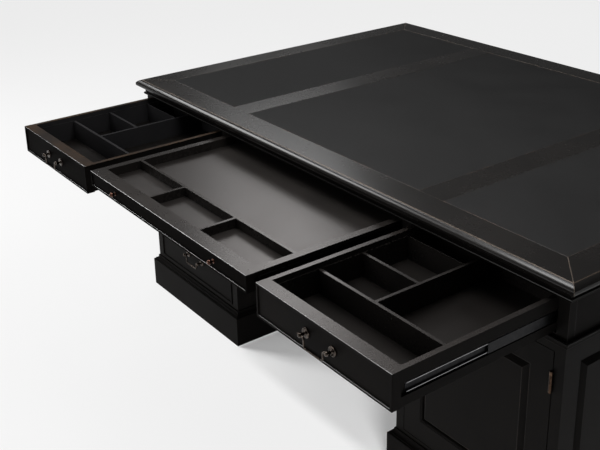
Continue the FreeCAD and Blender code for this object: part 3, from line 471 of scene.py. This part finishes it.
for side, inward, frieze_face, face in (
    ("near", 1, OPEN_FACE, NEAR_FACE),
    ("far", -1, FAR_FACE, FAR_FACE),
):
    for place in ("left", "centre", "right"):
        drawer = f"{side}_frieze_drawer_{place}"
        # the near left drawer has rubbed rims, and its lacquer is lighter and bluer inside as
        # painted skylight
        rubbed_and_skylit = side == "near" and place == "left"
        lacquer = SKYLIT_RUBBED_LACQUER if rubbed_and_skylit else LACQUER
        # the left and centre drawers take the darker paint as painted shade
        front = WOOD_X if place == "right" else PAINTED_SHADE_FRONT
        edge = WORN if rubbed_and_skylit else WORN_PALE
        dress(drawer, [front, edge, lacquer, BEAD, TRAY_FLOOR, LOW_FLOOR], EASE,
              front_and_box(drawer, frieze_face, inward))
        pulls = COPPER if place == "centre" else BRONZE
        fittings = f"{drawer}_fittings"
        dress(fittings, [pulls, STEEL, SLIDE_BLACK_AND_SHADE], pick=fitting(fittings, frieze_face, inward))
        middles = f"{drawer}_slide_middles"
        dress(middles, [STEEL, SLIDE_BLACK_AND_SHADE], pick=slide(middles, bright=0, dark=1))
        if place != "centre":
            dress(f"{drawer}_bail", [BRONZE])
    for place in ("bottom", "middle", "top"):
        drawer = f"{side}_pedestal_drawer_{place}"
        dress(drawer, [WOOD_X, WORN, LACQUER, WOOD_X, TRAY_FLOOR, LOW_FLOOR], EASE,
              front_and_box(drawer, face, inward))
        fittings = f"{drawer}_fittings"
        dress(fittings, [SHADED_PEDESTAL_BRONZE, STEEL, SLIDE_BLACK_AND_SHADE], pick=fitting(fittings, face, inward))
        dress(f"{drawer}_bail", [SHADED_PEDESTAL_BRONZE])
    dress(f"{side}_door_frame", [WOOD_Z, WORN], BOARD_EASE)
    dress(f"{side}_door_panel", [WOOD_Z, WORN], EASE)
    dress(f"{side}_door_fittings", [HINGE])

# Studio: pale floor that turns up into a low wall, soft boxes and a dim room
SWEEP_MIDDLE = 0.2
FLOOR_RADII = (3.0, 8.0, 13.0)
CURVE_RADIUS = 2.0
CURVE_STEPS = 8
WALL_TOP = 5.0
SWEEP_SIDES = 96
PAPER = (0.90, 0.90, 0.90)
ROOM = (0.10, 0.10, 0.10)

# the paper's glow: its strength at two distances, its fade up the wall, and its share in view
NEAR_GLOW, FAR_GLOW = 0.87, 0.885
NEAR_REACH, FAR_REACH = 1.6, 4.5
FADED_GLOW = 0.10
FADE_LOW, FADE_HIGH = 0.6, 2.6
GLOW_SHARE = 0.93
# in the kneehole the glow keeps only this share: painted shade, with the floor lights' shadows in
# it
KNEEHOLE_SHADE_SHARE = 0.03

# half sizes between which the kneehole's shade ends, across the desk and along its depth
SHADE_ACROSS = (0.350, 0.375)
SHADE_ALONG = (0.595, 0.637)


def studio_sweep():
    """Rings of a round floor, joined by faces, with a curve up to a wall at its rim."""
    rings = [(radius, 0.0) for radius in FLOOR_RADII]
    rim = FLOOR_RADII[-1]
    for step in range(1, CURVE_STEPS + 1):
        turn = math.radians(90) * step / CURVE_STEPS
        rings.append((rim + CURVE_RADIUS * math.sin(turn),
                      CURVE_RADIUS - CURVE_RADIUS * math.cos(turn)))
    rings.append((rim + CURVE_RADIUS, WALL_TOP))
    b = bmesh.new()
    middle = b.verts.new((0.0, SWEEP_MIDDLE, 0.0))
    rows = []
    for radius, height in rings:
        row = []
        for k in range(SWEEP_SIDES):
            turn = 2 * math.pi * k / SWEEP_SIDES
            x, y = radius * math.cos(turn), SWEEP_MIDDLE + radius * math.sin(turn)
            row.append(b.verts.new((x, y, height)))
        rows.append(row)
    following = [(k, (k + 1) % SWEEP_SIDES) for k in range(SWEEP_SIDES)]
    for k, n in following:
        b.faces.new((middle, rows[0][k], rows[0][n]))
    for low, high in zip(rows, rows[1:]):
        for k, n in following:
            b.faces.new((low[k], high[k], high[n], low[n]))
    for face in b.faces:
        face.smooth = True
    mesh = bpy.data.meshes.new("studio_sweep")
    b.to_mesh(mesh)
    b.free()
    return mesh


def studio_paper():
    """Paper with an even glow for the camera and reflections; in the kneehole the glow is nearly
    cut, a painted shade in which the floor lights' cast shadows show.
    """
    t = Tree("studio_paper")
    t.nodes.remove(t.shader)
    paper = t.add("BsdfDiffuse", Color=(*PAPER, 1.0))
    place = t.split(t.place)
    away = t.add("VectorMath")
    away.operation = "LENGTH"
    t.join(t.place, away.inputs[0])
    fade = t.span(place["Z"], 1.0, FADED_GLOW, FADE_LOW, FADE_HIGH)
    spread = t.span(away.outputs["Value"], NEAR_GLOW, FAR_GLOW, NEAR_REACH, FAR_REACH)
    glow = t.add("Emission")
    t.join(t.math("MULTIPLY", fade, spread), glow.inputs["Color"])
    path = t.add("LightPath")
    seen = path.outputs["Is Camera Ray"]
    for other in ("Is Glossy Ray", "Is Transmission Ray"):
        seen = t.math("ADD", seen, path.outputs[other])
        seen.node.use_clamp = True
    across = t.span(t.math("ABSOLUTE", place["X"]), 1.0, 0.0, *SHADE_ACROSS)
    from_middle = t.math("ABSOLUTE", t.math("SUBTRACT", place["Y"], DESK_MIDDLE))
    kneehole = t.math("MULTIPLY", across, t.span(from_middle, 1.0, 0.0, *SHADE_ALONG))
    share = t.math("MULTIPLY", seen, t.span(kneehole, GLOW_SHARE, KNEEHOLE_SHADE_SHARE, 0.0, 1.0))
    mix = t.add("MixShader")
    t.join(share, mix.inputs["Fac"])
    t.join(paper.outputs["BSDF"], mix.inputs[1])
    t.join(glow.outputs["Emission"], mix.inputs[2])
    t.join(mix.outputs["Shader"], t.nodes["Material Output"].inputs["Surface"])
    return t.material


def soft_box(name, at, target, size, radiance, only=None):
    """A rectangular light; only is a collection of the objects it falls on, if not on all."""
    light = bpy.data.lights.new(name, "AREA")
    light.shape = "RECTANGLE"
    light.size, light.size_y = size
    light.energy = radiance * math.pi * size[0] * size[1]
    lamp = bpy.data.objects.new(name, light)
    lamp.location = at
    lamp.rotation_euler = (Vector(target) - Vector(at)).to_track_quat("-Z", "Y").to_euler()
    if only:
        lamp.light_linking.receiver_collection = only
    scene.collection.objects.link(lamp)


floor = bpy.data.objects.new("studio_sweep", studio_sweep())
floor.data.materials.append(studio_paper())
scene.collection.objects.link(floor)
floor_alone = bpy.data.collections.new("studio_floor_alone")
floor_alone.objects.link(floor)

# two low lights that lay the pedestals' shadows on the floor
for name, at in (("floor_left", (-3.39, -2.03, 1.45)), ("floor_right", (3.29, -2.20, 1.45))):
    soft_box(name, at, target=(0.0, -0.3, 0.0), size=(1.2, 0.8), radiance=43.0, only=floor_alone)

# strips behind the desk that shine in the top and the drawers' floors, then boxes all round
for name, at, target, size, radiance in (
    ("strip_low", (-3.27, 1.83, 2.41), (0.3, -0.6, 0.75), (0.95, 0.74), 1.3),
    ("strip_high", (-3.27, 1.83, 3.33), (0.3, -0.6, 0.75), (0.95, 1.15), 6.5),
    ("strip_top", (-1.74, 1.52, 4.90), (0.3, -0.4, 0.75), (1.2, 2.2), 4.0),
    ("box_over", (-0.5, -0.6, 3.3), (-0.3, -0.1, 0.7), (2.4, 2.0), 1.0),
    ("box_near", (0.30, -0.40, 1.90), (0.30, -0.39, 0.77), (0.75, 0.6), 12.0),
    ("box_front", (-0.9, -4.2, 2.0), (0.0, -0.3, 0.4), (2.6, 1.8), 3.0),
    ("box_back", (0.8, 5.0, 2.4), (0.0, 0.4, 0.4), (2.6, 1.8), 1.4),
    ("box_right", (4.2, -0.6, 2.2), (0.9, 0.0, 0.5), (2.0, 1.6), 0.06),
    ("box_left", (-2.65, -0.75, 2.85), (0.0, -0.6, 0.75), (1.3, 1.6), 10.0),
):
    soft_box(name, at, target, size, radiance)

world = bpy.data.worlds.new("room")
world.use_nodes = True
background = world.node_tree.nodes["Background"]
background.inputs["Color"].default_value = (*ROOM, 1.0)
background.inputs["Strength"].default_value = 1.0
scene.world = world

# Camera at the photograph's angle; focus and centre are in pixels of the photograph
EYE = Vector((1.98271, -1.82439, 1.73067))
AZIMUTH = math.radians(54.75)
ELEVATION = math.radians(21.06)
ROLL = math.radians(-1.58)
FOCUS = 989.73
CENTRE = (286.43, 150.0)
PHOTO_WIDTH = 600.0
PHOTO_HEIGHT = 450.0
SENSOR = 36.0

forward = Vector((-math.sin(AZIMUTH) * math.cos(ELEVATION),
                  math.cos(AZIMUTH) * math.cos(ELEVATION),
                  -math.sin(ELEVATION)))
level = forward.cross(Vector((0, 0, 1))).normalized()
upright = level.cross(forward)
right = level * math.cos(ROLL) + upright * math.sin(ROLL)
up = upright * math.cos(ROLL) - level * math.sin(ROLL)
lens = bpy.data.cameras.new("camera")
lens.sensor_fit = "HORIZONTAL"
lens.sensor_width = SENSOR
lens.lens = FOCUS * SENSOR / PHOTO_WIDTH
lens.shift_x = (PHOTO_WIDTH / 2 - CENTRE[0]) / PHOTO_WIDTH
lens.shift_y = (CENTRE[1] - PHOTO_HEIGHT / 2) / PHOTO_WIDTH
lens.clip_end = 100.0
camera = bpy.data.objects.new("camera", lens)
camera.matrix_world = Matrix.Translation(EYE) @ Matrix((right, up, -forward)).transposed().to_4x4()
scene.collection.objects.link(camera)
scene.camera = camera
